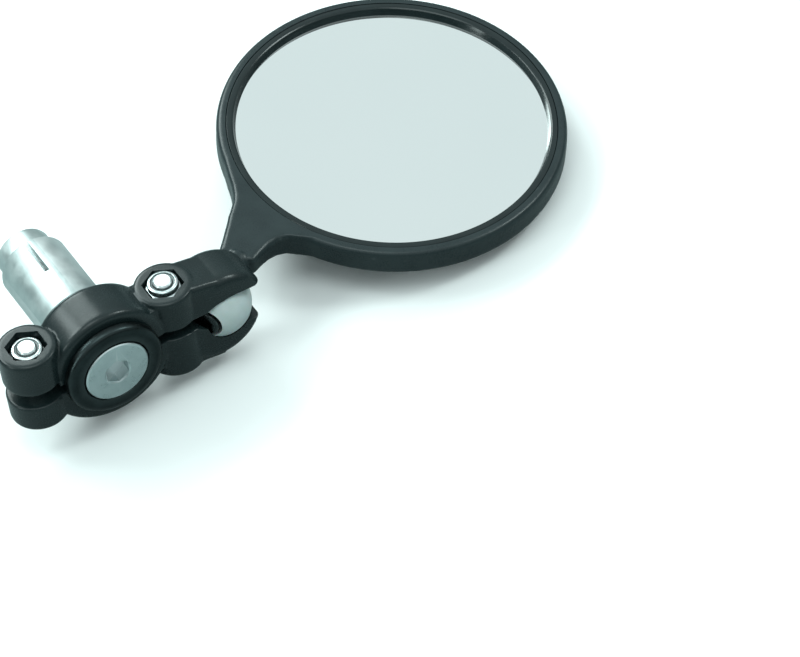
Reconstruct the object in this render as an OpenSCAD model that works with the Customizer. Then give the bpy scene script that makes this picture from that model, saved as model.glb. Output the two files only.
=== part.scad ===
// Bar-end bicycle mirror: an expanding plug, a two-piece clamp arm that turns
// around the plug, a ball joint and a round mirror head.
// Units: mm, +Z up. The origin is the centre of the plug's seat face, where it
// meets the end of the handlebar. The plug runs along +Y, into the bar.

/* [Plug] */
// Outer radius of the expanding sleeve that goes into the bar
sleeve_r = 9; // [8:0.1:10.5]
// Length of the sleeve
sleeve_len = 26; // [18:0.5:32]
// Length of the slots in the sleeve, from its free end
slot_len = 12; // [8:0.5:18]
// Width of the slots in the sleeve
slot_w = 1.4; // [0.8:0.1:2]
// Number of slots in the sleeve
slot_n = 3; // [2:1:6]
// Turn of the first slot about the plug, from the arm's direction
slot_turn = 24; // [0:1:120]
// Radius of the stop flange
flange_r = 12.9; // [12:0.1:15]
// Thickness of the stop flange
flange_t = 1.9; // [1.5:0.1:3]
// Radius of the hub the clamp turns on
hub_r = 10; // [9:0.1:11]
// Radius of the end cap
cap_r = 13; // [12:0.1:15]
// Thickness of the end cap
cap_t = 2.7; // [2.4:0.1:4]
// Radius of the expander bolt's head
head_r = 8.5; // [7:0.1:9.5]
// Radius of the expander bolt's shank (M8)
shank_r = 3.95; // [3.95:0.01:3.95]
// How far the wedge nut stands out of the sleeve
wedge_out = 6.5; // [4:0.5:9]

/* [Clamp arm] */
// Half the width of the arch, along the plug
arch_hw = 6.3; // [5:0.1:8]
// Outer radius of the upper shell's arch
arch_r = 15.8; // [14.5:0.1:18]
// Outer radius of the lower shell's arch
lower_arch_r = 17.2; // [15:0.1:18.5]
// Radius of the round bolt bosses
boss_r = 7.5; // [7:0.1:9]
// Distance from the plug's axis to the end bolt
end_x = 18.1; // [17:0.1:21]
// Distance from the plug's axis to the middle bolt
mid_x = 19.5; // [18:0.1:22]
// Height of the end boss's nut side
end_top = 12.7; // [11:0.1:14]
// Height of the middle boss's nut side
mid_top = 10.6; // [10:0.1:13]
// Depth of the end boss's bolt side
end_bottom = 10.0; // [9.5:0.1:12]
// Depth of the middle boss's bolt side
mid_bottom = 15.3; // [13:0.1:17]

/* [Ball joint] */
// Radius of the pivot ball
ball_r = 8.75; // [8:0.05:9.5]
// Distance from the plug's axis to the ball's centre
ball_x = 32.6; // [32:0.1:36]
// Depth of the ball's centre below the plug's axis
ball_drop = 4.2; // [0:0.1:5]
// Outer radius of the upper jaw
jaw_r = 12.2; // [11.5:0.1:14]
// Outer radius of the lower jaw
lower_jaw_r = 11.9; // [11:0.1:14]
// Half the width of the jaws, along the plug
jaw_hw = 6.6; // [5:0.1:8]
// Angle of the neck from the arm, as drawn
swing = 39; // [0:1:50]
// Turn of the head about its neck, as drawn
spin = 7.5; // [-20:0.1:20]

/* [Mirror head] */
// Outer radius of the housing
rim_r = 45; // [40:0.5:50]
// Radius of the visible glass
view_r = 40; // [35:0.5:45]
// Distance from the ball to the disc's centre, along the neck
disc_x = 69.8; // [62:0.2:80]
// How far the disc's centre sits to the side of the neck's axis
disc_side = 21; // [0:0.5:24]
// Height of the rim's front face above the neck's axis
rim_front = 3; // [2.5:0.1:4]
// Depth of the rim's back face below the neck's axis
rim_back = 4.6; // [3:0.1:6]
// Depth of the raised back, below the rim's back face
back_rise = 4.5; // [3:0.1:6]
// Radius of the raised back's flat
back_r = 35; // [30:0.5:38]
// Radius of the round badge in the back
badge_r = 12.9; // [10:0.1:16]

/* [Hidden] */
$fn = 96;
eps = 0.01;
mid_y = -(flange_t + 0.3 + arch_hw);
hub_front = mid_y - arch_hw - 0.3;
cap_front = hub_front - cap_t;
head_front = cap_front - 0.3;
head_back = hub_front - 1.0;
wedge_slope = 0.3;
wedge_len = 8;
wedge_gap = 0.36;
cone_r = 7.6;
bolt_end = sleeve_len + 3;
seat = 0.5;
clamp_bore = hub_r + 0.05;
screw_r = 1.95;
m5_r = 2.5;
m5_head_r = 4.25;
m5_head_h = 5;
nut_af = 8;
recess_af = 9.2;
mid_nut_z = 6.3;
end_nut_z = 6.9;
nut_hex_h = 3.5;
nut_h = 5;
bezel_r = 42.6;
glass_t = 2;
glass_top = rim_front - 2;
pad_t = 1;
pocket_r = ball_r + 0.25;
stem_r = 3.4;
insert_r = 2.5;
neck_x = 13.4;
neck_back = 4.2;
shell_gap_z = 0.8;
lower_top_z = -2.1;

// a shape of revolution about the plug's axis; profile points are [r, y]
module lathe_y(pts) {
  rotate([-90, 0, 0]) rotate_extrude() polygon(pts);
}

// places its children in the head's own frame: origin at the ball's centre,
// +X along the neck, +Z out of the glass
module in_head() {
  translate([ball_x, mid_y, -ball_drop]) rotate([0, 0, swing]) rotate([spin, 0, 0])
    children();
}

// places its children at the disc's centre, in the head's own frame
module in_disc() {
  in_head() translate([disc_x, -disc_side, 0]) children();
}

// a vertical boss with softened edges
module boss(x, z0, z1, e0, e1) {
  translate([x, mid_y, 0]) rotate_extrude()
    polygon([[0, z0], [boss_r - e0, z0], [boss_r - e0 * 0.3, z0 + e0 * 0.3], [boss_r, z0 + e0],
      [boss_r, z1 - e1], [boss_r - e1 * 0.3, z1 - e1 * 0.3], [boss_r - e1, z1], [0, z1]]);
}

module box(x0, x1, y0, y1, z0, z1) {
  translate([x0, mid_y + y0, z0]) cube([x1 - x0, y1 - y0, z1 - z0]);
}

module ball_at(r) {
  translate([ball_x, mid_y, -ball_drop]) sphere(r);
}

// the ring that each clamp half's arch is cut from
module arch_ring(r) {
  translate([0, mid_y, 0]) lathe_y([[clamp_bore, -arch_hw], [r - 1.6, -arch_hw],
    [r - 0.7, -arch_hw + 0.3], [r - 0.15, -arch_hw + 0.9], [r, -arch_hw + 1.8],
    [r, arch_hw - 1.8], [r - 0.15, arch_hw - 0.9], [r - 0.7, arch_hw - 0.3],
    [r - 1.6, arch_hw], [clamp_bore, arch_hw]]);
}

module bolt_hole(x) {
  translate([x, mid_y, -20]) cylinder(r = m5_r + 0.25, h = 40);
}

module hub() {
  color("black") lathe_y([[4.4, hub_front], [hub_r, hub_front], [hub_r, -flange_t],
    [4.4, -flange_t]]);
}

module end_cap() {
  color("black") lathe_y([[4.4, head_back], [head_r + 0.25, head_back],
    [head_r + 0.25, cap_front], [cap_r - 1.6, cap_front], [cap_r - 0.4, cap_front + 0.5],
    [cap_r, cap_front + 1.5], [cap_r, hub_front - 0.3], [cap_r - 0.3, hub_front],
    [4.4, hub_front]]);
}

module stop_flange() {
  color("dimgray") lathe_y([[4.4, -flange_t], [flange_r - 0.2, -flange_t],
    [flange_r, -flange_t + 0.2], [flange_r, -1.2], [flange_r - 0.5, -1.1],
    [flange_r - 0.5, -0.8], [flange_r, -0.7], [flange_r, -0.2], [flange_r - 0.2, 0],
    [sleeve_r + 0.05, 0], [sleeve_r + 0.05, -seat], [4.4, -seat]]);
}

module expander_sleeve() {
  inner = cone_r - wedge_slope * (wedge_len + 1.5);
  color("silver") difference() {
    lathe_y([[4.5, -seat], [sleeve_r - 0.2, -seat], [sleeve_r - 0.2, 0.3], [sleeve_r, 0.3],
      [sleeve_r, sleeve_len - 0.3],
      [sleeve_r - 0.3, sleeve_len], [cone_r, sleeve_len],
      [inner, sleeve_len - wedge_len - 1.5], [4.5, sleeve_len - wedge_len - 1.5]]);
    for (i = [0 : slot_n - 1]) {
      rotate([0, slot_turn + i * 360 / slot_n, 0])
        translate([0, sleeve_len - slot_len, -slot_w / 2])
          cube([sleeve_r + 1, slot_len + 1, slot_w]);
    }
  }
}

module expander_bolt() {
  color("silver") difference() {
    lathe_y([[0, head_front], [head_r - 0.3, head_front], [head_r, head_front + 0.3],
      [head_r, head_back], [shank_r, head_back], [shank_r, bolt_end - 0.8],
      [shank_r - 0.8, bolt_end], [0, bolt_end]]);
    translate([0, head_front - 1, 0]) rotate([-90, 0, 0])
      cylinder(r = 6 / sqrt(3), h = 4, $fn = 6);
  }
}

module wedge_nut() {
  top = cone_r - wedge_gap;
  end = sleeve_len + wedge_out;
  color("silver") lathe_y([[4, sleeve_len - wedge_len],
    [top - wedge_slope * wedge_len, sleeve_len - wedge_len], [top, sleeve_len],
    [top, end - 1.2], [top - 1.2, end], [4.5, end], [4, end - 0.5]]);
}

// the arm's ball end for one half: a rounded drum near the ball, joined to the
// middle boss and kept inside an outline of [x, z] points
module jaw(r, dx, dz, z0, z1, outline) {
  intersection() {
    union() {
      translate([ball_x + dx, mid_y, dz - ball_drop]) lathe_y([[0, -jaw_hw], [r - 2.4, -jaw_hw],
        [r - 1.1, -jaw_hw + 0.4], [r - 0.3, -jaw_hw + 1.3], [r, -jaw_hw + 2.4],
        [r, jaw_hw - 2.4], [r - 0.3, jaw_hw - 1.3], [r - 1.1, jaw_hw - 0.4],
        [r - 2.4, jaw_hw], [0, jaw_hw]]);
      box(mid_x, ball_x + dx, -jaw_hw + 0.5, jaw_hw - 0.5, z0, z1);
    }
    translate([0, mid_y + 10, 0]) rotate([90, 0, 0]) linear_extrude(20) polygon(outline);
  }
}

module clamp_upper() {
  color("black") difference() {
    union() {
      intersection() {
        arch_ring(arch_r);
        box(-20, 20, -10, 10, shell_gap_z, 20);
      }
      boss(-end_x, 2.3, end_top, 0.6, 1.2);
      box(-end_x, -clamp_bore - 1, -5, 5, 2.3, 9);
      boss(mid_x, shell_gap_z, mid_top, 0.6, 1.2);
      box(clamp_bore + 1, mid_x, -5.6, 5.6, shell_gap_z, 9.4);
      jaw(jaw_r, -1.1, 0.9, shell_gap_z, 8.9, [[mid_x, shell_gap_z], [27, shell_gap_z], [30, 1.8], [34, 2.3],
        [38, 2.1], [48, 1.2], [48, 20], [mid_x, 20]]);
    }
    ball_at(pocket_r);
    translate([0, mid_y - 10, 0]) rotate([-90, 0, 0]) cylinder(r = clamp_bore, h = 20);
    for (x = [-end_x, mid_x]) {
      bolt_hole(x);
    }
    for (at = [[-end_x, end_nut_z], [mid_x, mid_nut_z]]) {
      translate([at[0], mid_y, at[1]]) rotate([0, 0, 30])
        cylinder(r = recess_af / sqrt(3), h = 10, $fn = 6);
    }
  }
}

module clamp_lower() {
  color("black") difference() {
    union() {
      intersection() {
        arch_ring(lower_arch_r);
        box(-20, 20, -10, 10, -20, lower_top_z);
      }
      boss(-end_x, -end_bottom, lower_top_z, 1.2, 0.6);
      box(-end_x, -clamp_bore - 1, -5, 5, -8, lower_top_z);
      boss(mid_x, -mid_bottom, lower_top_z, 1.2, 0.6);
      box(clamp_bore + 1, mid_x, -5.6, 5.6, -11.5, lower_top_z);
      jaw(lower_jaw_r, -2.5, 0, -12.6, lower_top_z, [[mid_x, lower_top_z], [24, -2.9], [27, -5.0], [30, -7.2],
        [34, -8.4], [48, -9.4], [48, -20], [mid_x, -20]]);
    }
    ball_at(pocket_r);
    translate([0, mid_y - 10, 0]) rotate([-90, 0, 0]) cylinder(r = clamp_bore, h = 20);
    for (x = [-end_x, mid_x]) {
      bolt_hole(x);
    }
    translate([-end_x, mid_y, -20]) cylinder(r = m5_head_r + 0.35, h = 20 - end_bottom + 5.3);
    translate([mid_x, mid_y, -20]) cylinder(r = m5_head_r + 0.35, h = 20 - mid_bottom + 5.4);
  }
}

// an M5 socket head bolt, head down, with its seat at z and its nut at nut_z
module m5_bolt(x, z, nut_z) {
  color("silver") translate([x, mid_y, 0]) difference() {
    rotate_extrude() polygon([[0, z - m5_head_h], [m5_head_r - 0.4, z - m5_head_h],
      [m5_head_r, z - m5_head_h + 0.4], [m5_head_r, z], [m5_r, z],
      [m5_r, nut_z + nut_h - 0.1], [m5_r - 0.7, nut_z + nut_h + 0.4],
      [0, nut_z + nut_h + 0.6]]);
    translate([0, 0, z - m5_head_h - 1]) rotate([0, 0, 30])
      cylinder(r = 4 / sqrt(3), h = 3.5, $fn = 6);
  }
}

module end_clamp_bolt() {
  m5_bolt(-end_x, -end_bottom + 5.3, end_nut_z);
}

module mid_clamp_bolt() {
  m5_bolt(mid_x, -mid_bottom + 5.4, mid_nut_z);
}

// an M5 lock nut: a chamfered hexagon with a round collar that holds a nylon ring
module lock_nut(x, nut_z) {
  corner = nut_af / sqrt(3);
  color("silver") translate([x, mid_y, nut_z]) difference() {
    union() {
      intersection() {
        rotate([0, 0, 30]) cylinder(r = corner, h = nut_hex_h, $fn = 6);
        rotate_extrude() polygon([[0, 0], [corner - 0.5, 0], [corner + 0.05, 0.35],
          [corner + 0.05, nut_hex_h - 0.35], [corner - 0.5, nut_hex_h], [0, nut_hex_h]]);
      }
      translate([0, 0, nut_hex_h - 0.5])
        cylinder(r1 = 3.95, r2 = 3.6, h = nut_h - nut_hex_h + 0.5);
    }
    translate([0, 0, -1]) cylinder(r = m5_r, h = nut_h + 2);
    translate([0, 0, nut_hex_h]) cylinder(r = 3.15, h = nut_h);
  }
}

module end_lock_nut() {
  lock_nut(-end_x, end_nut_z);
}

module mid_lock_nut() {
  lock_nut(mid_x, mid_nut_z);
}

module nut_insert(x, nut_z) {
  color("white") translate([x, mid_y, nut_z + nut_hex_h]) difference() {
    cylinder(r = 3.15, h = 1.3);
    translate([0, 0, -1]) cylinder(r = m5_r, h = 4);
  }
}

module end_nut_insert() {
  nut_insert(-end_x, end_nut_z);
}

module mid_nut_insert() {
  nut_insert(mid_x, mid_nut_z);
}

module pivot_ball() {
  color("white") in_head() rotate([0, 90, 0]) difference() {
    sphere(ball_r);
    translate([-10, -10, 8]) cube([20, 20, 10]);
    translate([0, 0, -20]) cylinder(r = 4.3, h = 20 - 4.2);
    translate([0, 0, -20]) cylinder(r = 2.1, h = 40);
  }
}

module ball_screw() {
  color("black") in_head() rotate([0, 90, 0]) difference() {
    union() {
      translate([0, 0, -7.9]) cylinder(r = 3.5, h = 3.7);
      translate([0, 0, -4.3]) cylinder(r = screw_r, h = 24.3);
    }
    translate([0, 0, -9]) cylinder(r = 3 / sqrt(3), h = 3.2, $fn = 6);
  }
}

module neck_plan() {
  polygon([[neck_x, -4.7], [17, -5.5], [20, -6.5], [22.5, -7.9], [24.2, -10], [25, -12.7],
    [25.4, -16], [40, -21], [50, 16], [47.5, 18.2], [42.6, 15.9], [38.5, 13.5],
    [35.5, 11], [33, 8.8], [30.5, 7.3], [27.5, 6.3], [20, 5.3], [neck_x, 4.7]]);
}

module mirror_housing() {
  back = -rim_back - back_rise;
  color("black") difference() {
    union() {
      in_disc() rotate_extrude() polygon([[0, back], [back_r - 0.6, back],
        [back_r, back + 0.3], [39.3, -rim_back - 0.2], [39.7, -rim_back], [rim_r - 1.6, -rim_back],
        [rim_r - 0.8, -rim_back + 0.2], [rim_r - 0.2, -rim_back + 0.8], [rim_r, -rim_back + 1.6],
        [rim_r, rim_front - 1.4], [rim_r - 0.3, rim_front - 0.6], [rim_r - 0.8, rim_front - 0.2],
        [rim_r - 1.5, rim_front], [0, rim_front]]);
      in_head() translate([0, 0, -neck_back]) linear_extrude(neck_back + rim_front) neck_plan();
      in_head() translate([8.1, 0, 0]) rotate([0, 90, 0]) cylinder(r = stem_r, h = 6);
    }
    in_disc() translate([0, 0, glass_top - glass_t - pad_t]) cylinder(r = bezel_r, h = 20);
    in_disc() translate([0, 0, back - 1]) cylinder(r = badge_r + 0.3, h = 3);
    in_head() rotate([0, 90, 0]) cylinder(r = 2.15, h = 22);
    in_head() translate([neck_x, 0, 0]) rotate([0, 90, 0]) cylinder(r = insert_r, h = 8.5);
  }
}

module neck_insert() {
  color("goldenrod") in_head() translate([neck_x, 0, 0]) rotate([0, 90, 0]) difference() {
    cylinder(r = insert_r, h = 8.5);
    translate([0, 0, -1]) cylinder(r = 2, h = 12);
  }
}

module bezel_ring() {
  color("black") in_disc() rotate_extrude() polygon([[view_r, glass_top],
    [view_r, rim_front - 0.5], [view_r + 0.5, rim_front], [bezel_r - 0.15, rim_front],
    [bezel_r, rim_front - 0.15], [bezel_r, glass_top - glass_t - pad_t],
    [bezel_r - 0.8, glass_top - glass_t - pad_t], [bezel_r - 0.8, glass_top]]);
}

module mirror_glass() {
  color("lightblue") in_disc() translate([0, 0, glass_top - glass_t])
    cylinder(r = bezel_r - 1, h = glass_t);
}

module glass_pad() {
  color("gray") in_disc() translate([0, 0, glass_top - glass_t - pad_t])
    cylinder(r = bezel_r - 1.4, h = pad_t);
}

module back_badge() {
  z = -rim_back - back_rise;
  color("black") in_disc() rotate_extrude() polygon([[0, z - 0.5], [4, z - 0.44],
    [7.5, z - 0.27], [10, z - 0.02], [11.3, z + 0.25], [11.6, z + 0.6], [12.5, z + 0.6],
    [badge_r, z + 0.9], [badge_r, z + 1.7], [0, z + 1.7]]);
}

module badge_tape() {
  color("gray") in_disc() translate([0, 0, -rim_back - back_rise + 1.7])
    cylinder(r = badge_r - 1.5, h = 0.3);
}

hub();
end_cap();
stop_flange();
expander_sleeve();
expander_bolt();
wedge_nut();
clamp_upper();
clamp_lower();
end_clamp_bolt();
mid_clamp_bolt();
end_lock_nut();
mid_lock_nut();
end_nut_insert();
mid_nut_insert();
pivot_ball();
ball_screw();
mirror_housing();
neck_insert();
bezel_ring();
mirror_glass();
glass_pad();
back_badge();
badge_tape();
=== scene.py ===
import bpy
import math
from mathutils import Matrix, Vector


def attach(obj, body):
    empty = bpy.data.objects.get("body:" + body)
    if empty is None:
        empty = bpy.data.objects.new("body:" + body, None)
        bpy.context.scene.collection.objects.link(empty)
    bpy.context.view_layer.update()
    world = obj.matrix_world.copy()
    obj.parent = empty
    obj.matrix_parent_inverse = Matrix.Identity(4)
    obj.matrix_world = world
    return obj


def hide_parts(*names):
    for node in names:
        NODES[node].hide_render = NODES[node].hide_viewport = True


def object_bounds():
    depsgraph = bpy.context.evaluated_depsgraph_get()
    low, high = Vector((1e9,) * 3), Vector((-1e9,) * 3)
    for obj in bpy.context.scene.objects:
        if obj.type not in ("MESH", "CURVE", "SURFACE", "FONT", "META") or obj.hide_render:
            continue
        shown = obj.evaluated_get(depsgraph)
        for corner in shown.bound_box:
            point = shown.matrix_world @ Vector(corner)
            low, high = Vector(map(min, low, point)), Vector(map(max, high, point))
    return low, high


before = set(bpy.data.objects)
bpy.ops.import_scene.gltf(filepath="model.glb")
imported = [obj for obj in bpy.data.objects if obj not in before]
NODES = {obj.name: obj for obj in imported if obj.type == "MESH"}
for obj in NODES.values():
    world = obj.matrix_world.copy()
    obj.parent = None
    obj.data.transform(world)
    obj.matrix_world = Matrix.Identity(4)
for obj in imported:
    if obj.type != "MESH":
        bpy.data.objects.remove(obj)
CAD_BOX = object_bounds()

# Sizes of the mirror's own pieces, in millimetres
MM = 0.001
FLANGE_T = 1.9
ARCH_HALF = 6.3
MID_Y = -(FLANGE_T + 0.3 + ARCH_HALF)
HUB_FRONT = MID_Y - ARCH_HALF - 0.3
CAP_FRONT = HUB_FRONT - 2.7
HEAD_FRONT = CAP_FRONT - 0.3
HEAD_BACK = HUB_FRONT - 1.0
SLEEVE_LEN = 26.0
BORE = 10.05
END_X = -18.1
MID_X = 19.5
BALL = (32.6, MID_Y, -4.2)
BALL_R = 8.75
POCKET_R = 9.0
JAW_HALF = 6.6
BOSS_R = 7.5
UPPER_LOW_END = 2.3
UPPER_LOW_MID = 0.8
LOWER_TOP = -2.1
END_BOTTOM = -10.0
MID_BOTTOM = -15.3
END_SEAT = END_BOTTOM + 5.3
MID_SEAT = MID_BOTTOM + 5.4
END_NUT_Z = 6.9
MID_NUT_Z = 6.3
M5_HOLE_R = 2.75
HEAD_R = 8.5
SHANK_R = 3.95
CORE_BORE = 4.4
RIM_FRONT = 3.0
RIM_BACK = -4.6
BACK = RIM_BACK - 4.5
GLASS_TOP = RIM_FRONT - 2.0
NECK_ANGLE = 39
HEAD_ROLL = 7.5
FAR = 20

# Where each group of pieces stands
ALONG_PLUG = Matrix.Rotation(math.radians(-90), 4, "X")
ACROSS_ARM = Matrix.Translation((0.0, MID_Y * MM, 0.0)) @ ALONG_PLUG
HEAD = (Matrix.Translation(Vector(BALL) * MM) @ Matrix.Rotation(math.radians(NECK_ANGLE), 4, "Z")
        @ Matrix.Rotation(math.radians(HEAD_ROLL), 4, "X"))
DISC_FROM_BALL = Matrix.Translation((69.8 * MM, -21.0 * MM, 0.0))
DISC = HEAD @ DISC_FROM_BALL
DOWN_NECK = Matrix.Rotation(math.radians(90), 4, "Y")
NECK_AXIS = HEAD @ DOWN_NECK


# ---------------------------------------------------------------- bench work
def clear_bench():
    if bpy.context.object and bpy.context.object.mode != "OBJECT":
        bpy.ops.object.mode_set(mode="OBJECT")
    bpy.ops.object.select_all(action="DESELECT")


def pick(piece):
    clear_bench()
    piece.select_set(True)
    bpy.context.view_layer.objects.active = piece


def finish_modifier(piece, label, kind, **settings):
    pick(piece)
    step = piece.modifiers.new(label, kind)
    for key, value in settings.items():
        setattr(step, key, value)
    bpy.ops.object.modifier_apply(modifier=step.name)


def lathe(name, profile, ring=False, sides=128):
    """Turns a profile of (radius, height) points about Z. A ring closes on itself."""
    clear_bench()
    radius, height = profile[0]
    bpy.ops.mesh.primitive_circle_add(vertices=sides, radius=radius * MM, fill_type="NOTHING",
                                      location=(0.0, 0.0, height * MM))
    piece = bpy.context.object
    piece.name = name
    piece.data.name = name
    bpy.ops.object.mode_set(mode="EDIT")
    bpy.ops.mesh.select_all(action="SELECT")
    for new_radius, new_height in profile[1:] + ([profile[0]] if ring else []):
        bpy.ops.mesh.extrude_region()
        bpy.ops.transform.translate(value=(0.0, 0.0, (new_height - height) * MM))
        grow = new_radius / radius
        bpy.ops.transform.resize(value=(grow, grow, 1.0),
                                 center_override=(0.0, 0.0, new_height * MM))
        radius, height = new_radius, new_height
    bpy.ops.mesh.select_all(action="SELECT")
    if ring:
        bpy.ops.mesh.remove_doubles(threshold=2e-6)
    else:
        bpy.ops.mesh.fill_holes(sides=0)
    bpy.ops.mesh.select_all(action="SELECT")
    bpy.ops.mesh.normals_make_consistent(inside=False)
    bpy.ops.object.mode_set(mode="OBJECT")
    return piece


def bar(name, stations):
    """Draws a solid bar along X through stations of (x, y0, y1, z0, z1)."""
    clear_bench()
    x, y0, y1, z0, z1 = stations[0]
    bpy.ops.mesh.primitive_plane_add(size=1.0, rotation=(0.0, math.radians(90), 0.0))
    piece = bpy.context.object
    piece.name = name
    bpy.ops.object.transform_apply(location=True, rotation=True, scale=True)
    bpy.ops.object.mode_set(mode="EDIT")
    bpy.ops.mesh.select_all(action="SELECT")
    bpy.ops.transform.resize(value=(1.0, (y1 - y0) * MM, (z1 - z0) * MM),
                             center_override=(0.0, 0.0, 0.0))
    centre = Vector((x, (y0 + y1) / 2, (z0 + z1) / 2)) * MM
    bpy.ops.transform.translate(value=centre)
    wide, tall = y1 - y0, z1 - z0
    for x, y0, y1, z0, z1 in stations[1:]:
        bpy.ops.mesh.extrude_region()
        goal = Vector((x, (y0 + y1) / 2, (z0 + z1) / 2)) * MM
        bpy.ops.transform.translate(value=goal - centre)
        bpy.ops.transform.resize(value=(1.0, (y1 - y0) / wide, (z1 - z0) / tall),
                                 center_override=goal)
        centre, wide, tall = goal, y1 - y0, z1 - z0
    bpy.ops.mesh.select_all(action="SELECT")
    bpy.ops.mesh.normals_make_consistent(inside=False)
    bpy.ops.object.mode_set(mode="OBJECT")
    return piece


def rod(radius, low, high, place=(0.0, 0.0), sides=96, turn=0.0):
    """An upright round or many-sided rod, for cutting holes or building up."""
    clear_bench()
    bpy.ops.mesh.primitive_cylinder_add(vertices=sides, radius=radius * MM,
                                        depth=(high - low) * MM, rotation=(0.0, 0.0, turn),
                                        location=(place[0] * MM, place[1] * MM,
                                                  (low + high) / 2 * MM))
    piece = bpy.context.object
    bpy.ops.object.transform_apply(location=True, rotation=True, scale=True)
    return piece


def hexagon(across_flats):
    """Corner radius of a hexagon."""
    return across_flats / math.sqrt(3)


def soften(piece, width, segments=3, angle=28):
    finish_modifier(piece, "softened_edges", "BEVEL", width=width * MM, segments=segments,
                    limit_method="ANGLE", angle_limit=math.radians(angle),
                    use_clamp_overlap=True, miter_outer="MITER_ARC")


def shape_with(piece, tool, operation):
    finish_modifier(piece, "shape", "BOOLEAN", operation=operation, solver="MANIFOLD",
                    object=tool)
    bpy.data.objects.remove(tool)


def cut(piece, *tools):
    for tool in tools:
        shape_with(piece, tool, "DIFFERENCE")


def set_in_place(piece, place):
    pick(piece)
    piece.matrix_world = place @ piece.matrix_world
    bpy.ops.object.transform_apply(location=True, rotation=True, scale=True)
    return piece


def melt_together(pieces, grain, passes, factor=0.5):
    """Joins lumps into one moulding with soft fillets between them."""
    clear_bench()
    for lump in pieces:
        lump.select_set(True)
    bpy.context.view_layer.objects.active = pieces[0]
    bpy.ops.object.join()
    whole = pieces[0]
    whole.data.remesh_voxel_size = grain * MM
    whole.data.remesh_voxel_adaptivity = 0.0
    bpy.ops.object.voxel_remesh()
    finish_modifier(whole, "fillets", "SMOOTH", factor=factor, iterations=passes)
    return whole


def hand_over(piece, name, body, skin, nodes, smooth=32):
    piece.name = name
    piece.data.name = name
    pick(piece)
    bpy.ops.object.transform_apply(location=True, rotation=True, scale=True)
    bpy.ops.object.shade_smooth_by_angle(angle=math.radians(smooth))
    piece.data.materials.clear()
    piece.data.materials.append(skin)
    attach(piece, body)
    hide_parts(*nodes)
    return piece


# ---------------------------------------------------------------- finishes
def new_finish(name):
    paint = bpy.data.materials.new(name)
    paint.use_nodes = True
    tree = paint.node_tree
    skin = tree.nodes["Principled BSDF"]
    where = tree.nodes.new("ShaderNodeTexCoord")
    return paint, tree, skin, where.outputs["Object"]


def noise(tree, where, scale, detail=4.0, rough=0.55):
    grain = tree.nodes.new("ShaderNodeTexNoise")
    grain.inputs["Scale"].default_value = scale
    grain.inputs["Detail"].default_value = detail
    grain.inputs["Roughness"].default_value = rough
    tree.links.new(where, grain.inputs["Vector"])
    return grain.outputs["Fac"]


def spread(tree, value, low, high, start=0.3, end=0.7):
    ramp = tree.nodes.new("ShaderNodeMapRange")
    ramp.inputs["From Min"].default_value = start
    ramp.inputs["From Max"].default_value = end
    ramp.inputs["To Min"].default_value = low
    ramp.inputs["To Max"].default_value = high
    tree.links.new(value, ramp.inputs["Value"])
    return ramp.outputs["Result"]


def blend_colour(tree, amount, first, second):
    mix = tree.nodes.new("ShaderNodeMix")
    mix.data_type = "RGBA"
    tree.links.new(amount, mix.inputs["Factor"])
    for socket, tone in ((mix.inputs["A"], first), (mix.inputs["B"], second)):
        if isinstance(tone, tuple):
            socket.default_value = (*tone, 1.0)
        else:
            tree.links.new(tone, socket)
    return mix.outputs["Result"]


def add_values(tree, first, second, how="ADD"):
    total = tree.nodes.new("ShaderNodeMath")
    total.operation = how
    total.use_clamp = how == "ADD"
    for socket, value in zip(total.inputs, (first, second)):
        if isinstance(value, float):
            socket.default_value = value
        else:
            tree.links.new(value, socket)
    return total.outputs["Value"]


def edge_wear(tree, start, end, strength):
    shape = tree.nodes.new("ShaderNodeNewGeometry")
    return spread(tree, shape.outputs["Pointiness"], 0.0, strength, start, end)


def raise_surface(tree, skin, height, depth, strength=1.0):
    bump = tree.nodes.new("ShaderNodeBump")
    bump.inputs["Distance"].default_value = depth * MM
    bump.inputs["Strength"].default_value = strength
    tree.links.new(height, bump.inputs["Height"])
    tree.links.new(bump.outputs["Normal"], skin.inputs["Normal"])


def moulded_black(name, dark, light, gloss, grain_depth, worn=(0.07, 0.085, 0.086)):
    """Black moulded plastic or paint: fine spark texture, cloudy gloss, rubbed edges."""
    paint, tree, skin, where = new_finish(name)
    cloud = noise(tree, where, 140.0, 5.0)
    spark = noise(tree, where, 5200.0, 2.0)
    rub = noise(tree, where, 900.0, 6.0, 0.7)
    tone = blend_colour(tree, spread(tree, cloud, 0.0, 1.0), dark, light)
    edge = add_values(tree, edge_wear(tree, 0.535, 0.61, 0.45), spread(tree, rub, 0.2, 1.0),
                      "MULTIPLY")
    tone = blend_colour(tree, edge, tone, worn)
    tree.links.new(tone, skin.inputs["Base Color"])
    matt = add_values(tree, spread(tree, cloud, gloss - 0.035, gloss + 0.035),
                      spread(tree, spark, -0.03, 0.05))
    tree.links.new(matt, skin.inputs["Roughness"])
    skin.inputs["IOR"].default_value = 1.5
    skin.inputs["Specular IOR Level"].default_value = 0.34
    raise_surface(tree, skin, add_values(tree, spark, spread(tree, cloud, 0.0, 0.5)),
                  grain_depth)
    return paint


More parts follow.
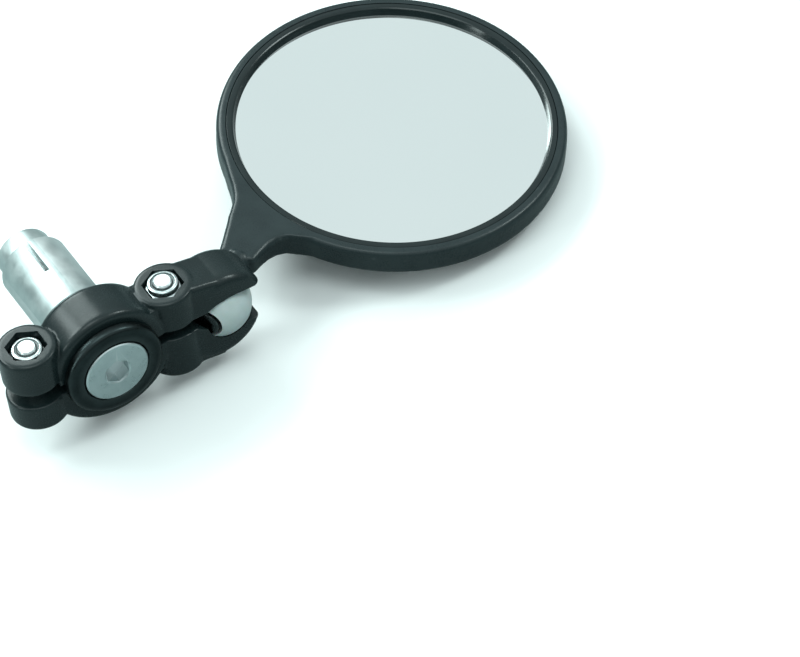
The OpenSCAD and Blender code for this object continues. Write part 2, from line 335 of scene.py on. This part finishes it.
def turned_metal(name, tone_a, tone_b, rough, axis_turn, groove_scale, groove_depth,
                 centre=(0.0, 0.0, 0.0), worn=(0.85, 0.88, 0.88)):
    """Bare metal with lathe marks round an axis, blotches of handling and bright edges."""
    paint, tree, skin, where = new_finish(name)
    turn = tree.nodes.new("ShaderNodeMapping")
    turn.inputs["Location"].default_value = tuple(-v * MM for v in centre)
    tree.links.new(where, turn.inputs["Vector"])
    rings = tree.nodes.new("ShaderNodeTexWave")
    rings.wave_type = "RINGS"
    rings.rings_direction = axis_turn
    rings.inputs["Scale"].default_value = groove_scale
    rings.inputs["Distortion"].default_value = 1.2
    rings.inputs["Detail"].default_value = 3.0
    rings.inputs["Detail Scale"].default_value = 2.0
    tree.links.new(turn.outputs["Vector"], rings.inputs["Vector"])
    blotch = noise(tree, where, 260.0, 6.0, 0.62)
    pits = noise(tree, where, 2600.0, 3.0)
    tone = blend_colour(tree, spread(tree, blotch, 0.0, 1.0, 0.35, 0.68), tone_a, tone_b)
    tone = blend_colour(tree, edge_wear(tree, 0.52, 0.58, 0.5), tone, worn)
    tree.links.new(tone, skin.inputs["Base Color"])
    skin.inputs["Metallic"].default_value = 1.0
    matt = add_values(tree, spread(tree, blotch, rough - 0.06, rough + 0.08),
                      spread(tree, rings.outputs["Fac"], 0.0, 0.05, 0.0, 1.0))
    tree.links.new(matt, skin.inputs["Roughness"])
    high = add_values(tree, spread(tree, rings.outputs["Fac"], 0.0, 0.6, 0.0, 1.0),
                      spread(tree, pits, 0.0, 0.4))
    raise_surface(tree, skin, high, groove_depth)
    return paint


def silvered_glass():
    """Flat mirror: bright silvering with a trace of dust and a very slight float wave."""
    paint, tree, skin, where = new_finish("silvered_glass")
    wave = noise(tree, where, 18.0, 2.0)
    dust = noise(tree, where, 1500.0, 6.0, 0.75)
    film = add_values(tree, spread(tree, dust, 0.0, 0.25, 0.6, 0.8),
                      spread(tree, wave, 0.0, 0.35), "ADD")
    tone = blend_colour(tree, film, (0.85, 0.885, 0.885), (0.90, 0.925, 0.925))
    tree.links.new(tone, skin.inputs["Base Color"])
    skin.inputs["Metallic"].default_value = 1.0
    tree.links.new(spread(tree, wave, 0.03, 0.075), skin.inputs["Roughness"])
    raise_surface(tree, skin, wave, 0.004)
    return paint


def white_nylon():
    paint, tree, skin, where = new_finish("white_nylon")
    cloud = noise(tree, where, 180.0, 5.0)
    rub = noise(tree, where, 700.0, 8.0, 0.7)
    tone = blend_colour(tree, spread(tree, cloud, 0.0, 1.0), (0.50, 0.575, 0.57),
                        (0.58, 0.65, 0.645))
    tone = blend_colour(tree, spread(tree, rub, 0.0, 0.35, 0.58, 0.75), tone,
                        (0.45, 0.52, 0.51))
    tree.links.new(tone, skin.inputs["Base Color"])
    tree.links.new(spread(tree, rub, 0.34, 0.5), skin.inputs["Roughness"])
    skin.inputs["Subsurface Weight"].default_value = 0.12
    skin.inputs["Subsurface Scale"].default_value = 0.001
    raise_surface(tree, skin, rub, 0.02)
    return paint


def soft_backing(name, tone_a, tone_b, scale, rough):
    paint, tree, skin, where = new_finish(name)
    cells = noise(tree, where, scale, 5.0, 0.7)
    tree.links.new(blend_colour(tree, spread(tree, cells, 0.0, 1.0), tone_a, tone_b),
                   skin.inputs["Base Color"])
    tree.links.new(spread(tree, cells, rough - 0.08, rough + 0.06), skin.inputs["Roughness"])
    raise_surface(tree, skin, cells, 0.05)
    return paint


SATIN_BLACK = moulded_black("satin_black_shell", (0.008, 0.015, 0.016),
                            (0.011, 0.020, 0.021), 0.25, 0.010)
HOUSING_BLACK = moulded_black("satin_black_housing", (0.012, 0.021, 0.023),
                              (0.016, 0.027, 0.029), 0.28, 0.008)
GLOSS_BLACK = moulded_black("gloss_black_bezel", (0.008, 0.014, 0.015),
                            (0.011, 0.019, 0.020), 0.16, 0.005)
BADGE_BLACK = moulded_black("semi_gloss_black_badge", (0.009, 0.015, 0.016),
                            (0.013, 0.021, 0.022), 0.20, 0.005)
CAP_BLACK = turned_metal("black_turned_cap", (0.012, 0.018, 0.019), (0.022, 0.031, 0.033),
                         0.30, "Y", 900.0, 0.012, worn=(0.16, 0.19, 0.19))
SLEEVE_METAL = turned_metal("bare_turned_sleeve", (0.42, 0.50, 0.50), (0.56, 0.635, 0.63),
                            0.46, "Y", 700.0, 0.02)
BRIGHT_STEEL = turned_metal("bright_zinc_steel", (0.52, 0.60, 0.61), (0.62, 0.70, 0.705),
                            0.30, "Y", 850.0, 0.012)
BOLT_STEEL = turned_metal("bright_zinc_bolts", (0.48, 0.55, 0.56), (0.62, 0.68, 0.68),
                          0.26, "Z", 900.0, 0.012, centre=(MID_X, MID_Y, 0.0))
BLACK_STEEL = turned_metal("black_oxide_steel", (0.035, 0.045, 0.047), (0.06, 0.072, 0.075),
                           0.24, "X", 700.0, 0.02, worn=(0.12, 0.13, 0.13))
BRASS = turned_metal("turned_brass", (0.55, 0.40, 0.16), (0.68, 0.52, 0.24), 0.3, "X",
                     800.0, 0.02, worn=(0.8, 0.66, 0.4))
MIRROR = silvered_glass()
NYLON = white_nylon()
RING_NYLON = soft_backing("grey_nut_nylon", (0.12, 0.15, 0.15), (0.17, 0.20, 0.20), 900.0, 0.4)
FOAM = soft_backing("grey_foam", (0.030, 0.033, 0.033), (0.06, 0.065, 0.065), 1600.0, 0.85)
TAPE = soft_backing("double_sided_tape", (0.42, 0.42, 0.39), (0.52, 0.51, 0.47), 1200.0, 0.6)


# ---------------------------------------------------------------- the plug
def thread(radius, low, high, depth=0.4, pitch=0.8):
    """Profile points of a thread between two heights."""
    points = []
    height = low
    while height < high - pitch / 2:
        points += [(radius, height), (radius - depth, height + pitch / 2)]
        height += pitch
    return points


def make_end_cap():
    cap = lathe("end_cap_turned", [
        (CORE_BORE, HEAD_BACK), (8.75, HEAD_BACK), (8.75, CAP_FRONT + 0.35),
        (9.05, CAP_FRONT + 0.05),
        (11.0, CAP_FRONT + 0.02), (12.0, CAP_FRONT + 0.16), (12.55, CAP_FRONT + 0.5),
        (12.9, CAP_FRONT + 1.0), (13.0, CAP_FRONT + 1.6), (13.0, HUB_FRONT - 0.35),
        (12.7, HUB_FRONT), (CORE_BORE, HUB_FRONT)], ring=True, sides=160)
    set_in_place(cap, ALONG_PLUG)
    hand_over(cap, "end_cap_turned", "plug", CAP_BLACK, ["end_cap"])


def make_bolt_head():
    head = lathe("wedge_bolt", [
        (HEAD_R - 0.5, HEAD_FRONT), (HEAD_R - 0.25, HEAD_FRONT + 0.08),
        (HEAD_R, HEAD_FRONT + 0.35), (HEAD_R, HEAD_BACK), (SHANK_R, HEAD_BACK),
        (SHANK_R, SLEEVE_LEN - 8)] + thread(SHANK_R, SLEEVE_LEN - 7.5, SLEEVE_LEN + 2)
        + [(SHANK_R, SLEEVE_LEN + 2.2), (3.2, SLEEVE_LEN + 3)], sides=128)
    socket = rod(hexagon(6), HEAD_FRONT - 1, HEAD_FRONT + 2.9, sides=6)
    lead = lathe("socket_lead", [(4.3, HEAD_FRONT - 0.5), (3.25, HEAD_FRONT + 0.3)], sides=64)
    cut(head, socket, lead)
    soften(head, 0.06, 2, 40)
    set_in_place(head, ALONG_PLUG)
    hand_over(head, "wedge_bolt", "expander", BRIGHT_STEEL, ["expander_bolt"], 12)


def make_flange():
    flange = lathe("stop_flange_turned", [
        (CORE_BORE, -FLANGE_T), (12.7, -FLANGE_T), (12.9, -FLANGE_T + 0.2), (12.9, -1.2),
        (12.4, -1.1), (12.4, -0.8), (12.9, -0.7), (12.9, -0.2), (12.7, 0.0), (9.05, 0.0),
        (9.05, -0.5), (CORE_BORE, -0.5)], ring=True, sides=160)
    set_in_place(flange, ALONG_PLUG)
    hand_over(flange, "stop_flange_turned", "plug", CAP_BLACK,
              ["stop_flange"])


def make_sleeve():
    cone = 7.6 - 0.3 * 9.5
    sleeve = lathe("slotted_sleeve", [
        (4.5, -0.5), (8.8, -0.5), (8.8, 0.3), (9.0, 0.4), (9.0, SLEEVE_LEN - 0.5),
        (8.85, SLEEVE_LEN - 0.12), (8.6, SLEEVE_LEN), (7.6, SLEEVE_LEN),
        (cone, SLEEVE_LEN - 9.5), (4.5, SLEEVE_LEN - 9.5)], ring=True, sides=144)
    set_in_place(sleeve, ALONG_PLUG)
    for count in range(3):
        slot = bar("slot_saw", [(0.0, SLEEVE_LEN - 12, SLEEVE_LEN + 1, -0.7, 0.7),
                                (11.0, SLEEVE_LEN - 12, SLEEVE_LEN + 1, -0.7, 0.7)])
        set_in_place(slot, Matrix.Rotation(math.radians(24 + 120 * count), 4, "Y"))
        cut(sleeve, slot)
    soften(sleeve, 0.12, 2, 40)
    hand_over(sleeve, "slotted_sleeve", "plug", SLEEVE_METAL,
              ["expander_sleeve"])


def make_wedge_nut():
    top = 7.6 - 0.36
    end = SLEEVE_LEN + 6.5
    nut = lathe("coned_wedge_nut", [
        (4.0, SLEEVE_LEN - 8), (top - 2.4, SLEEVE_LEN - 8), (top, SLEEVE_LEN),
        (top, end - 1.3), (top - 0.25, end - 0.6), (top - 0.9, end - 0.1), (top - 1.5, end),
        (4.6, end), (4.1, end - 0.5)]
        + [(4.35 if step % 2 == 0 else 4.0, end - 0.9 - 0.4 * step) for step in range(8)],
        ring=True, sides=128)
    set_in_place(nut, ALONG_PLUG)
    hand_over(nut, "coned_wedge_nut", "wedge", SLEEVE_METAL,
              ["wedge_nut"])


# ---------------------------------------------------------------- the clamp arm
def drum(radius, half, place, edge, segments=4):
    """A round lump lying across the arm."""
    piece = rod(radius, -half, half, sides=128)
    soften(piece, edge, segments, 40)
    set_in_place(piece, ALONG_PLUG)
    return set_in_place(piece, Matrix.Translation(Vector(place) * MM))


def post(radius, low, high, x, edge_low, edge_high):
    profile = [(radius - edge_low, low), (radius - 0.3 * edge_low, low + 0.3 * edge_low),
               (radius, low + edge_low), (radius, high - edge_high),
               (radius - 0.3 * edge_high, high - 0.3 * edge_high), (radius - edge_high, high)]
    return set_in_place(lathe("boss", profile, sides=96),
                        Matrix.Translation((x * MM, MID_Y * MM, 0.0)))


def block(x0, x1, half, z0, z1, ends=None):
    ends = ends or (z0, z1)
    return bar("web", [(x0, MID_Y - half, MID_Y + half, z0, z1),
                       (x1, MID_Y - half, MID_Y + half, *ends)])


def ball_pocket():
    clear_bench()
    bpy.ops.mesh.primitive_uv_sphere_add(segments=96, ring_count=48, radius=POCKET_R * MM,
                                         location=Vector(BALL) * MM)
    ball = bpy.context.object
    bpy.ops.object.transform_apply(location=True, rotation=True, scale=True)
    return ball


def cross_bore():
    return set_in_place(rod(BORE, -12, 12, sides=144), ACROSS_ARM)


def make_upper_shell():
    lumps = [drum(15.8, ARCH_HALF, (0, MID_Y, 0), 1.5),
             post(BOSS_R, UPPER_LOW_END, 12.7, END_X, 0.5, 0.8),
             post(BOSS_R, UPPER_LOW_MID, 10.6, MID_X, 0.5, 0.8),
             block(END_X, -BORE - 0.5, 5.0, UPPER_LOW_END, 9.0),
             block(BORE + 0.5, MID_X, 5.6, UPPER_LOW_MID, 9.2),
             drum(12.2, JAW_HALF, (BALL[0] - 1.1, MID_Y, BALL[2] + 0.9), 2.4),
             bar("hood_root", [(MID_X, MID_Y - 6.4, MID_Y + 6.2, -2.0, 10.6),
                               (24.5, MID_Y - 6.3, MID_Y + 5.9, -2.0, 10.55),
                               (28.0, MID_Y - 6.3, MID_Y + 5.9, -2.0, 9.8),
                               (31.0, MID_Y - 6.35, MID_Y + 6.0, -2.0, 9.05),
                               (34.0, MID_Y - 6.4, MID_Y + 6.1, -2.0, 8.1),
                               (37.0, MID_Y - 6.4, MID_Y + 6.1, -2.0, 6.4)])]
    soften(lumps[-1], 1.9, 3, 50)
    for lump in lumps:
        cut(lump, block(-14, 27, 12, -FAR, UPPER_LOW_MID))
        cut(lump, block(-30, -14, 12, -FAR, UPPER_LOW_END))
        cut(lump, bar("under_hood", [
            (x, MID_Y - 12, MID_Y + 12, -FAR, ceiling)
            for x, ceiling in ((27, UPPER_LOW_MID), (30, 1.8), (34, 2.3), (38, 2.1), (48, 1.2))]))
    shell = melt_together([lump for lump in lumps if len(lump.data.polygons)], 0.3, 9)
    cut(shell, cross_bore(), ball_pocket())
    for x, floor in ((END_X, END_NUT_Z), (MID_X, MID_NUT_Z)):
        cut(shell, rod(M5_HOLE_R, -FAR, FAR, (x, MID_Y)),
            rod(hexagon(9.2), floor, 16, (x, MID_Y), 6))
    hand_over(shell, "upper_shell", "arm", SATIN_BLACK, ["clamp_upper"], 38)


def make_lower_shell():
    lumps = [drum(17.2, ARCH_HALF, (0, MID_Y, 0), 1.3),
             post(BOSS_R, END_BOTTOM, LOWER_TOP, END_X, 0.8, 0.5),
             post(BOSS_R, MID_BOTTOM, LOWER_TOP, MID_X, 0.8, 0.5),
             block(END_X, -BORE - 0.5, 5.0, -8.0, LOWER_TOP),
             block(BORE + 0.5, MID_X, 5.6, -11.5, LOWER_TOP),
             drum(11.9, JAW_HALF, (BALL[0] - 2.5, MID_Y, BALL[2]), 2.0),
             block(MID_X, 30.1, 6.2, -14.3, -2.3, (-15.9, -9.0))]
    for lump in lumps:
        cut(lump, block(-30, 20, 12, LOWER_TOP, FAR))
        cut(lump, bar("over_tray", [
            (x, MID_Y - 12, MID_Y + 12, floor, FAR)
            for x, floor in ((20, LOWER_TOP), (24, -2.9), (27, -5.0), (30, -7.2), (34, -8.4),
                             (48, -9.4))]))
    shell = melt_together([lump for lump in lumps if len(lump.data.polygons)], 0.3, 9)
    cut(shell, cross_bore(), ball_pocket())
    for x, seat in ((END_X, END_SEAT), (MID_X, MID_SEAT)):
        cut(shell, rod(M5_HOLE_R, -FAR, FAR, (x, MID_Y)), rod(4.6, -FAR, seat, (x, MID_Y)))
    hand_over(shell, "lower_shell", "arm", SATIN_BLACK, ["clamp_lower"], 38)


def make_clamp_bolt(name, x, seat, nut_z, node):
    top = nut_z + 5.0
    bolt = lathe(name, [
        (2.0, seat - 5), (3.75, seat - 5), (4.1, seat - 4.85), (4.25, seat - 4.55),
        (4.25, seat), (2.5, seat), (2.5, 0.0)] + thread(2.5, 0.4, top - 0.3, 0.35)
        + [(2.45, top - 0.1), (2.4, top + 0.25), (2.05, top + 0.58)], sides=72)
    cut(bolt, rod(hexagon(4), seat - 6, seat - 2.5, sides=6, turn=math.radians(30)),
        lathe("lead", [(2.75, seat - 5.3), (2.2, seat - 4.7)], sides=48))
    soften(bolt, 0.05, 2, 50)
    set_in_place(bolt, Matrix.Translation((x * MM, MID_Y * MM, 0.0)))
    hand_over(bolt, name, "arm", BOLT_STEEL, [node])


def make_lock_nut(name, x, nut_z, node):
    corner = hexagon(8)
    nut = rod(corner, nut_z, nut_z + 3.5, sides=6)
    trim = lathe("nut_trim", [(corner - 0.55, nut_z - 0.01), (corner + 0.05, nut_z + 0.35),
                              (corner + 0.05, nut_z + 3.15), (corner - 0.55, nut_z + 3.51)])
    shape_with(nut, trim, "INTERSECT")
    collar = lathe("collar", [(3.9, nut_z + 3.0), (3.95, nut_z + 3.5), (3.9, nut_z + 4.5),
                              (3.75, nut_z + 4.85), (3.5, nut_z + 5.0)], sides=72)
    shape_with(nut, collar, "UNION")
    cut(nut, rod(2.52, nut_z - 1, nut_z + 6), rod(3.15, nut_z + 3.5, nut_z + 6))
    soften(nut, 0.07, 2, 40)
    set_in_place(nut, Matrix.Translation((x * MM, MID_Y * MM, 0.0)))
    hand_over(nut, name, "arm", BOLT_STEEL, [node])


def make_nut_ring(name, x, nut_z, node):
    ring = lathe(name, [(2.5, nut_z + 3.5), (3.12, nut_z + 3.5), (3.12, nut_z + 4.55),
                        (2.95, nut_z + 4.75), (2.65, nut_z + 4.7), (2.5, nut_z + 4.5)],
                 ring=True, sides=64)
    set_in_place(ring, Matrix.Translation((x * MM, MID_Y * MM, 0.0)))
    hand_over(ring, name, "arm", RING_NYLON, [node])


# ---------------------------------------------------------------- the ball joint
def make_ball():
    profile = [(4.3, -4.2), (4.3, -7.45), (4.5, -7.53)]
    for step in range(-58, 67, 3):
        angle = math.radians(step)
        proud = 0.05 if step in (-1, 2) else 0.0
        radius = BALL_R - 0.05 + proud
        profile.append((radius * math.cos(angle), radius * math.sin(angle)))
    profile += [(3.4, 8.0), (2.1, 8.0), (2.1, -4.2)]
    ball = lathe("nylon_ball", profile, ring=True, sides=128)
    set_in_place(ball, NECK_AXIS)
    hand_over(ball, "nylon_ball", "ball", NYLON, ["pivot_ball"], 30)


def make_ball_screw():
    screw = lathe("ball_pin_screw", [
        (2.6, -7.9), (3.2, -7.85), (3.45, -7.6), (3.5, -7.3), (3.5, -4.2), (1.95, -4.2),
        (1.95, 9.0)] + thread(1.95, 9.2, 19.2, 0.28, 0.7) + [(1.9, 19.4), (1.4, 20.0)],
        sides=64)
    cut(screw, rod(hexagon(3), -9, -5.8, sides=6))
    soften(screw, 0.05, 2, 50)
    set_in_place(screw, NECK_AXIS)
    hand_over(screw, "ball_pin_screw", "ball", BLACK_STEEL, ["ball_screw"])


# ---------------------------------------------------------------- the mirror head
def make_housing():
    disc = lathe("housing_disc", [
        (34.4, BACK), (35.0, BACK + 0.12), (35.5, BACK + 0.5), (39.0, RIM_BACK - 0.45),
        (39.5, RIM_BACK - 0.1), (40.0, RIM_BACK), (43.2, RIM_BACK), (44.3, RIM_BACK + 0.3),
        (44.85, RIM_BACK + 0.9), (45.0, RIM_BACK + 1.6), (45.0, RIM_FRONT - 1.4),
        (44.75, RIM_FRONT - 0.6), (44.2, RIM_FRONT - 0.15), (43.4, RIM_FRONT)], sides=192)
    set_in_place(disc, DISC_FROM_BALL)
    neck = bar("neck", [
        (13.4, -4.7, 4.8, -3.2, 2.8), (17, -5.5, 5.3, -3.4, 2.8), (20, -6.4, 5.8, -3.8, 2.85),
        (22.5, -7.8, 6.2, -4.2, 2.9), (24.2, -10.0, 6.5, -4.3, 2.95),
        (25.0, -13.5, 6.7, -4.4, 3.0), (25.4, -17.5, 6.8, -4.4, 3.0),
        (27.5, -21.5, 7.0, -4.4, 3.0),
        (30.5, -23.0, 7.5, -4.4, 3.0), (33, -24.0, 8.5, -4.4, 3.0),
        (35.5, -24.0, 9.9, -4.2, 3.0), (38.5, -24.0, 12.0, -4.2, 3.0),
        (42.6, -24.0, 14.7, -4.2, 3.0), (46.5, -24.0, 16.4, -4.2, 3.0)])
    soften(neck, 1.2, 3, 50)
    stem = set_in_place(rod(3.4, 8.1, 15.0, sides=64), DOWN_NECK)
    body = melt_together([disc, neck, stem], 0.42, 5)
    cut(body,
        set_in_place(rod(42.6, -2.0, 9.0, sides=192), DISC_FROM_BALL),
        set_in_place(rod(13.2, BACK - 3, BACK + 2, sides=128), DISC_FROM_BALL),
        set_in_place(rod(2.15, 0, 22, sides=48), DOWN_NECK),
        set_in_place(rod(2.5, 10, 21.9, sides=48), DOWN_NECK))
    set_in_place(body, HEAD)
    hand_over(body, "housing_and_neck", "head", HOUSING_BLACK,
              ["mirror_housing"], 35)


def make_bezel():
    low = RIM_FRONT - 5.0
    bezel = lathe("bezel", [
        (40.0, GLASS_TOP), (40.1, GLASS_TOP + 0.25), (40.35, GLASS_TOP + 0.7),
        (40.7, RIM_FRONT - 0.3), (41.05, RIM_FRONT - 0.04), (41.4, RIM_FRONT), (42.0, RIM_FRONT),
        (42.35, RIM_FRONT - 0.06), (42.52, RIM_FRONT - 0.25), (42.55, RIM_FRONT - 0.5),
        (42.6, low), (41.8, low), (41.8, GLASS_TOP)], ring=True, sides=192)
    set_in_place(bezel, DISC)
    hand_over(bezel, "bezel", "head", GLOSS_BLACK, ["bezel_ring"])


def make_glass():
    glass = lathe("flat_glass", [(41.4, GLASS_TOP - 2), (41.6, GLASS_TOP - 1.8),
                                 (41.6, GLASS_TOP - 0.2), (41.4, GLASS_TOP)], sides=192)
    set_in_place(glass, DISC)
    hand_over(glass, "flat_glass", "head", MIRROR, ["mirror_glass"])


def make_badge():
    badge = lathe("round_badge", [
        (0.4, BACK - 0.5), (2.0, BACK - 0.49), (4.0, BACK - 0.45), (6.0, BACK - 0.36),
        (8.0, BACK - 0.2), (9.6, BACK + 0.0), (10.8, BACK + 0.25), (11.2, BACK + 0.5),
        (11.5, BACK + 0.6), (11.9, BACK + 0.45), (12.5, BACK + 0.42), (12.8, BACK + 0.6),
        (12.9, BACK + 0.85), (12.9, BACK + 1.7)], sides=144)
    set_in_place(badge, DISC)
    hand_over(badge, "round_badge", "head", BADGE_BLACK, ["back_badge"], 50)


# ---------------------------------------------------------------- studio
def place_camera():
    data = bpy.data.cameras.new("camera")
    data.sensor_width = 36.0
    data.lens = 184.5
    data.clip_start = 0.05
    data.clip_end = 20.0
    camera = bpy.data.objects.new("camera", data)
    bpy.context.scene.collection.objects.link(camera)
    right = Vector((0.84977, -0.51876, -0.0937)).normalized()
    back = Vector((-0.29297, -0.61251, 0.73417)).normalized()
    up = back.cross(right).normalized()
    right = up.cross(back)
    turn = Matrix((right, up, back)).transposed().to_4x4()
    camera.matrix_world = Matrix.Translation((-0.228481, -0.656015, 0.730303)) @ turn
    bpy.context.scene.camera = camera


def area_light(name, place, target, size, size_y, power, tint):
    data = bpy.data.lights.new(name, "AREA")
    data.shape = "RECTANGLE"
    data.size = size
    data.size_y = size_y
    data.energy = power
    data.color = tint
    lamp = bpy.data.objects.new(name, data)
    bpy.context.scene.collection.objects.link(lamp)
    aim = Vector(target) - Vector(place)
    lamp.location = place
    lamp.rotation_euler = aim.to_track_quat("-Z", "Y").to_euler()


def light_the_studio():
    world = bpy.data.worlds.new("studio_air")
    bpy.context.scene.world = world
    world.use_nodes = True
    tree = world.node_tree
    sky = tree.nodes["Background"]
    where = tree.nodes.new("ShaderNodeTexCoord")
    split = tree.nodes.new("ShaderNodeSeparateXYZ")
    tree.links.new(where.outputs["Generated"], split.inputs["Vector"])
    height = spread(tree, split.outputs["Z"], 0.0, 1.0, 0.1, 0.72)
    tone = blend_colour(tree, height, (0.14, 0.185, 0.185), (0.76, 0.865, 0.865))
    tree.links.new(tone, sky.inputs["Color"])
    sky.inputs["Strength"].default_value = 1.0
    cool = (0.86, 1.0, 0.985)
    area_light("back_softbox", (0.02, 0.72, 0.60), (0.02, 0.0, 0.0), 0.42, 0.36, 4.2, cool)
    area_light("back_left_softbox", (-0.42, 0.5, 0.66), (0.0, 0.0, 0.0), 0.34, 0.3, 3.2, cool)
    area_light("right_softbox", (0.78, -0.22, 0.80), (0.08, 0.0, 0.0), 0.26, 0.3, 3.0, cool)
    area_light("left_strip", (-0.75, -0.05, 0.28), (0.0, 0.0, 0.0), 0.12, 0.5, 1.4, cool)
    area_light("overhead_box", (-0.1, -0.15, 1.0), (0.03, 0.0, 0.0), 0.5, 0.5, 2.0, cool)


def lay_the_floor():
    clear_bench()
    low = CAD_BOX[0].z - 0.0004
    bpy.ops.mesh.primitive_plane_add(size=6.0, location=(0.0, 0.0, low))
    floor = bpy.context.object
    floor.name = "pale_floor"
    paint, tree, skin, where = new_finish("pale_paper")
    fibre = noise(tree, where, 60.0, 4.0)
    paper = blend_colour(tree, fibre, (0.90, 0.92, 0.92), (0.93, 0.945, 0.945))
    # Painted shade: the paper shows white to the camera, but every other ray sees it as dark grey
    # (0.30, 0.36, 0.36), so reflections and bounce light on the parts come out darker
    path = tree.nodes.new("ShaderNodeLightPath")
    tree.links.new(blend_colour(tree, path.outputs["Is Camera Ray"], (0.30, 0.36, 0.36), paper),
                   skin.inputs["Base Color"])
    skin.inputs["Roughness"].default_value = 0.9
    floor.data.materials.append(paint)


make_end_cap()
make_bolt_head()
make_flange()
make_sleeve()
make_wedge_nut()
make_upper_shell()
make_lower_shell()
make_clamp_bolt("end_socket_bolt", END_X, END_SEAT, END_NUT_Z, "end_clamp_bolt")
make_clamp_bolt("middle_socket_bolt", MID_X, MID_SEAT, MID_NUT_Z, "mid_clamp_bolt")
make_lock_nut("end_nut", END_X, END_NUT_Z, "end_lock_nut")
make_lock_nut("middle_nut", MID_X, MID_NUT_Z, "mid_lock_nut")
make_nut_ring("end_nut_ring", END_X, END_NUT_Z, "end_nut_insert")
make_nut_ring("middle_nut_ring", MID_X, MID_NUT_Z, "mid_nut_insert")
make_ball()
make_ball_screw()
make_housing()
make_bezel()
make_glass()
make_badge()
for node_name, skin in (("hub", SATIN_BLACK), ("neck_insert", BRASS), ("glass_pad", FOAM),
                        ("badge_tape", TAPE)):
    NODES[node_name].data.materials.clear()
    NODES[node_name].data.materials.append(skin)

bpy.context.scene.view_settings.view_transform = "Standard"
place_camera()
light_the_studio()
lay_the_floor()
clear_bench()
